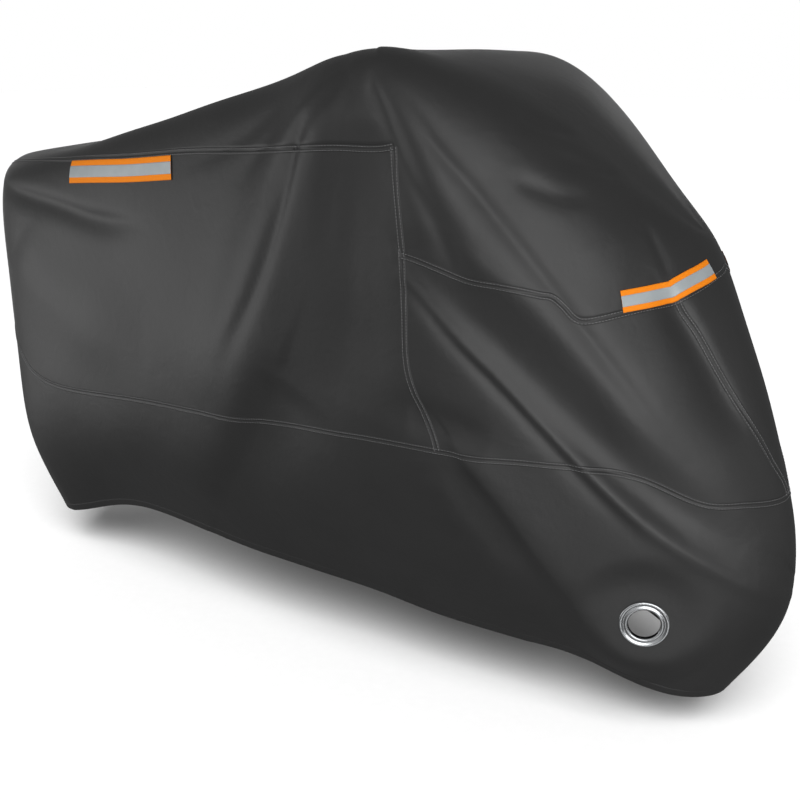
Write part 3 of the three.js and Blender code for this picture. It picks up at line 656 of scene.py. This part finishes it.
# the same little shape at many places, by Geometry Nodes, then made a plain mesh
def repeated(name, shape, places, turns, material):
    carrier = bpy.data.meshes.new(name)
    bm = bmesh.new()
    for place in places:
        bm.verts.new(place)
    bm.to_mesh(carrier)
    bm.free()
    attribute = carrier.attributes.new("turn", "FLOAT_VECTOR", "POINT")
    attribute.data.foreach_set("vector", np.array(turns, np.float32).ravel())
    piece = newPiece(name, carrier, material)
    group = bpy.data.node_groups.new(name, "GeometryNodeTree")
    group.interface.new_socket("Geometry", in_out="INPUT", socket_type="NodeSocketGeometry")
    group.interface.new_socket("Geometry", in_out="OUTPUT", socket_type="NodeSocketGeometry")
    start = addNode(group, "NodeGroupInput")
    single = addNode(group, "GeometryNodeObjectInfo", {"Object": shape})
    turn = addNode(group, "GeometryNodeInputNamedAttribute", {"data_type": "FLOAT_VECTOR", "Name": "turn"})
    rotation = addNode(group, "FunctionNodeEulerToRotation", {}, {"Euler": turn.outputs["Attribute"]})
    copies = addNode(group, "GeometryNodeInstanceOnPoints", {}, {
        "Points": start.outputs[0], "Instance": single.outputs["Geometry"], "Rotation": rotation.outputs[0]})
    real = addNode(group, "GeometryNodeRealizeInstances", {}, {"Geometry": copies.outputs[0]})
    finish = addNode(group, "GeometryNodeSetMaterial", {"Material": material}, {"Geometry": real.outputs[0]})
    addNode(group, "NodeGroupOutput", {}, {"Geometry": finish.outputs[0]})
    modifier = piece.modifiers.new("repeat", "NODES")
    modifier.node_group = group
    bpy.context.view_layer.update()
    graph = bpy.context.evaluated_depsgraph_get()
    mesh = bpy.data.meshes.new_from_object(piece.evaluated_get(graph))
    piece.modifiers.clear()
    piece.data = mesh
    bpy.data.meshes.remove(carrier)
    bpy.data.node_groups.remove(group)
    return piece


def pill(name, length, width, height):
    bm = bmesh.new()
    bmesh.ops.create_icosphere(bm, subdivisions=1, radius=1, matrix=Matrix.Diagonal((length / 2, width / 2, height / 2, 1)))
    for face in bm.faces:
        face.smooth = True
    mesh = bpy.data.meshes.new(name)
    bm.to_mesh(mesh)
    bm.free()
    shape = bpy.data.objects.new(name, mesh)
    bpy.context.scene.collection.objects.link(shape)
    return shape


stitching = {"pitch": 5.5, "length": 4.8, "width": 0.9, "height": 0.8, "apart": 8.0}      # mm
stitch = pill("stitch", stitching["length"] * mm, stitching["width"] * mm, stitching["height"] * mm)


# rows of stitches: each is (side, path, distances across), all at one height over the cloth
def stitches(name, rows, height, material):
    places, turns = [], []
    for side, path, distances in rows:
        points, out = walk(path, side, distances)
        ahead = unit(np.diff(points, axis=1)).reshape(-1, 3)
        up = out[:, 1:].reshape(-1, 3)
        places += list(((points[:, 1:] + points[:, :-1]) / 2).reshape(-1, 3) + up * height * mm)
        beside = unit(np.cross(up, ahead))
        for x, y in zip(ahead, beside):
            turns.append(Matrix(np.array((x, y, np.cross(x, y))).T.tolist()).to_euler())
    return repeated(name, stitch, places, turns, material)


# Felled seam: both edges folded in and topstitched twice, with a shallow channel between the rows.
seamProfile = [(-7, -0.7), (-6.3, 0.3), (-5.2, 0.8), (-4, 0.65), (-2.8, 0.8), (-1.6, 0.2), (0, 0.0),
               (1.6, 0.2), (2.8, 0.8), (4, 0.65), (5.2, 0.8), (6.3, 0.3), (7, -0.7)]
hemProfile = [(19, -0.4), (18, 0.35), (15, 0.5), (8, 0.5), (2.5, 0.7), (0.6, 0.5), (0, -0.5), (0.6, -1.6), (2.5, -2.0), (18, -1.8)]
seamRoutes = {
    # columns, levels
    "topSeam": ((0, uprightColumn), (1, 1)),
    "uprightSeam": ((uprightColumn, uprightColumn), (1, 3)),
    "middleSeam": ((uprightColumn, lastColumn), (2, 2)),
    "noseSeam": ((noseColumn, noseColumn), (2, 3)),
    "waistSeam": ((0, lastColumn), (3, 3)),
}
seamPieces = {}
for side, hand in hands.items():
    word = hand.capitalize()
    rows = []
    for seam, (cs, qs) in seamRoutes.items():
        path = surfacePath(side, cs, qs, stitching["pitch"] * mm)
        seamPieces[seam + word] = band(seam + word, side, path, seamProfile, cloth)
        half = stitching["apart"] / 2
        rows.append((side, path, (-half, half)))
    seamPieces["seamStitches" + word] = stitches("seamStitches" + word, rows, 0.9, paleThread)
    hemPath = surfacePath(side, (0, lastColumn), (4, 4), stitching["pitch"] * mm)
    seamPieces["hem" + word] = band("hem" + word, side, hemPath, [(-a if side == left else a, h) for a, h in hemProfile], cloth)
print("seams ready")


# ---- reflective tapes ----
tapes = {
    # line it follows, level t against section s; section from and to; distances across from the line in mm
    "rear": {"line": topSeam, "from": 2.68, "to": 3.86, "near": 5.5, "far": 51.5},
    "front": {"line": np.array([
        (8.46, 2.84), (8.75, 2.69), (9.02, 2.546), (9.07, 2.52), (9.12, 2.48), (9.33, 2.33), (9.66, 2.11)]),
              "from": 8.46, "to": 9.66, "near": -18, "far": 18},
}
tapePieces = {}
for side, hand in hands.items():
    for name, tape in tapes.items():
        s = np.linspace(tape["from"], tape["to"], 200)
        points = drape(s, along(tape["line"], s), side)
        length = np.concatenate([[0], np.cumsum(np.linalg.norm(np.diff(points, axis=0), axis=1))])
        even = np.linspace(0, length[-1], int(length[-1] / (4 * mm)))
        s = np.interp(even, length, s)
        path = (s, along(tape["line"], s), even)
        down = -1 if side == right else 1           # which way the walk goes for a distance below the line
        for layer, inset, height, material, slotName in (
                ("tape", 0, 2.0, orangeTape, "orange_tape"), ("silver", 0.25, 2.5, silverFilm, "silver_tape")):
            near = mix(tape["near"], tape["far"], inset)
            far = mix(tape["far"], tape["near"], inset)
            across = np.linspace(near, far, 15)
            profile = [(near, height - 2.2)] + [(a, height) for a in across] + [(far, height - 2.2)]
            profile = [(a * down, h) for a, h in profile]
            piece = band(f"{layer}_{name}_{hand}_strip", side, path, profile, material)
            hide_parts(f"{layer}_{name}_{hand}")
            tapePieces[piece.name] = piece
print("tapes ready")


# ---- eyelets ----
def lathe(name, place, profile, steps):
    bm = bmesh.new()
    ring = [bm.verts.new((r * mm, 0, z * mm)) for r, z in profile]
    edges = [bm.edges.new(pair) for pair in zip(ring, ring[1:] + ring[:1])]
    bmesh.ops.spin(bm, geom=ring + edges, cent=(0, 0, 0), axis=(0, 0, 1), angle=2 * math.pi, steps=steps, use_merge=True)
    bmesh.ops.remove_doubles(bm, verts=bm.verts, dist=0.00001)
    bmesh.ops.recalc_face_normals(bm, faces=bm.faces)
    turn = Matrix(np.array((place["across"], place["up"], place["out"])).T.tolist()).to_4x4()
    turn.translation = Vector(place["centre"] - origin)
    bmesh.ops.transform(bm, matrix=turn, verts=bm.verts)
    if turn.determinant() < 0:
        bmesh.ops.reverse_faces(bm, faces=bm.faces)
    for face in bm.faces:
        face.smooth = True
    mesh = bpy.data.meshes.new(name)
    bm.to_mesh(mesh)
    bm.free()
    mesh.set_sharp_from_angle(angle=math.radians(50))
    return newPiece(name, mesh, plated)


eyeletPieces = {}
for side, hand in hands.items():
    for part in ("ring", "washer"):
        piece = lathe(f"eyelet_{part}_{hand}_pressed", eyeletFrames[side], eyelet[part], eyelet["segments"])
        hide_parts(f"eyelet_{part}_{hand}")
        eyeletPieces[piece.name] = piece
print("eyelets ready")
bpy.data.objects.remove(stitch)

for piece in [*panels.values(), *seamPieces.values(), *tapePieces.values(), *eyeletPieces.values()]:
    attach(piece, "root")

# Each panel's node name split into its cut and its hand.
for node, piece in panels.items():
    cut = node.removesuffix("_right").removesuffix("_left")
    hand = node.removeprefix(cut)[1:]

# ---- floor, light and camera ----
ground = -float(origin[2])
bm = bmesh.new()
bmesh.ops.create_grid(bm, x_segments=8, y_segments=8, size=30, matrix=Matrix.Translation((0, 0, ground)))
floorMesh = bpy.data.meshes.new("floor")
bm.to_mesh(floorMesh)
bm.free()
floor = bpy.data.objects.new("floor", floorMesh)
bpy.context.scene.collection.objects.link(floor)
floorMesh.materials.append(seamlessPaper())
floor.visible_diffuse = floor.visible_glossy = floor.visible_shadow = False          # white paper, kept from throwing its light up under the cloth


onCover = bpy.data.collections.new("onCover")
onTape = bpy.data.collections.new("onTape")
onFloor = bpy.data.collections.new("onFloor")
for piece in [*panels.values(), *seamPieces.values(), *tapePieces.values(), *eyeletPieces.values()]:
    onCover.objects.link(piece)
onFloor.objects.link(floor)
for piece in tapePieces.values():
    onTape.objects.link(piece)


def addLamp(name, data, direction, distance, falls):
    lamp = bpy.data.objects.new(name, data)
    direction = Vector(direction).normalized()
    lamp.location = direction * distance + Vector((0, 0, -0.45))
    lamp.rotation_euler = (-direction).to_track_quat("-Z", "Y").to_euler()
    bpy.context.scene.collection.objects.link(lamp)
    lamp.light_linking.receiver_collection = falls


# long low softboxes light the cover; brightness is what a white card facing it would show
def softbox(name, direction, size, brightness, falls=onCover):
    data = bpy.data.lights.new(name, "AREA")
    data.shape = "RECTANGLE"
    data.size, data.size_y = size
    data.energy = brightness * math.pi * size[0] * size[1]
    addLamp(name, data, direction, 3.6, falls)


softbox("tailBox", (-0.86, -0.5, -0.12), (2.0, 1.7), 2.1)
softbox("noseBox", (0.72, -0.69, 0.02), (2.2, 1.8), 4.1)
softbox("frontBox", (-0.1, -1.0, 0.15), (3.0, 2.4), 0.45)
softbox("bandBox", (0.41, -0.88, 0.25), (1.1, 0.9), 3.0)
softbox("edgeBox", (0.97, 0.1, 0.0), (1.2, 1.6), 0.45)
softbox("lowBox", (0.5, -0.6, -0.62), (1.8, 1.2), 1.1)
# weaker ones for the far side, placed so that they don't graze the edges seen from the front
softbox("farBox", (-0.26, 0.97, 0.1), (2.6, 1.8), 1.7)
softbox("farTailBox", (-0.91, 0.42, 0.0), (1.6, 1.7), 1.0)
# the tapes throw light back at the viewer, which these lamps stand for
softbox("tapeBox", (0.3, -0.85, 0.45), (1.6, 1.6), 4.0, onTape)
softbox("farTapeBox", (-0.3, 0.85, 0.45), (1.6, 1.6), 3.0, onTape)
paper = bpy.data.lights.new("paperLight", "SUN")
paper.energy = 1.25 * math.pi
paper.angle = math.radians(45)
addLamp("paperLight", paper, (0.4, -0.7, 0.95), 3, onFloor)

scene = bpy.context.scene
scene.view_settings.view_transform = "Standard"
world = bpy.data.worlds.new("studio")
scene.world = world
world.use_nodes = True
tree = world.node_tree
tree.nodes.clear()
seen = addNode(tree, "ShaderNodeLightPath").outputs["Is Camera Ray"]
# less light comes from below, where the cloth turns in over its own dark hollow
toward = addNode(tree, "ShaderNodeSeparateXYZ", {}, {0: addNode(tree, "ShaderNodeTexCoord").outputs["Generated"]})
height = addNode(tree, "ShaderNodeMapRange", {"From Min": -0.6, "From Max": 0.5, "To Min": 0.12, "To Max": 0.27},
                 {"Value": toward.outputs["Z"]})
soft = addNode(tree, "ShaderNodeBackground", {"Color": linear("#ffffff")}, {"Strength": height.outputs["Result"]})
backdrop = addNode(tree, "ShaderNodeBackground", {"Color": linear("#ffffff"), "Strength": 1.0})
either = addNode(tree, "ShaderNodeMixShader", {}, {0: seen, 1: soft.outputs[0], 2: backdrop.outputs[0]})
addNode(tree, "ShaderNodeOutputWorld", {}, {"Surface": either.outputs[0]})

view = {"position": (1.25, -1.78, 1.21), "azimuth": 31.9, "tilt": 18.1, "focal": 1054 / 800}
cameraData = bpy.data.cameras.new("camera")
cameraData.sensor_width = 36
cameraData.lens = 36 * view["focal"]
cameraData.clip_end = 200
camera = bpy.data.objects.new("camera", cameraData)
camera.location = Vector(view["position"]) - Vector(origin)
camera.rotation_euler = (math.radians(90 - view["tilt"]), 0, math.radians(view["azimuth"]))
scene.collection.objects.link(camera)
scene.camera = camera
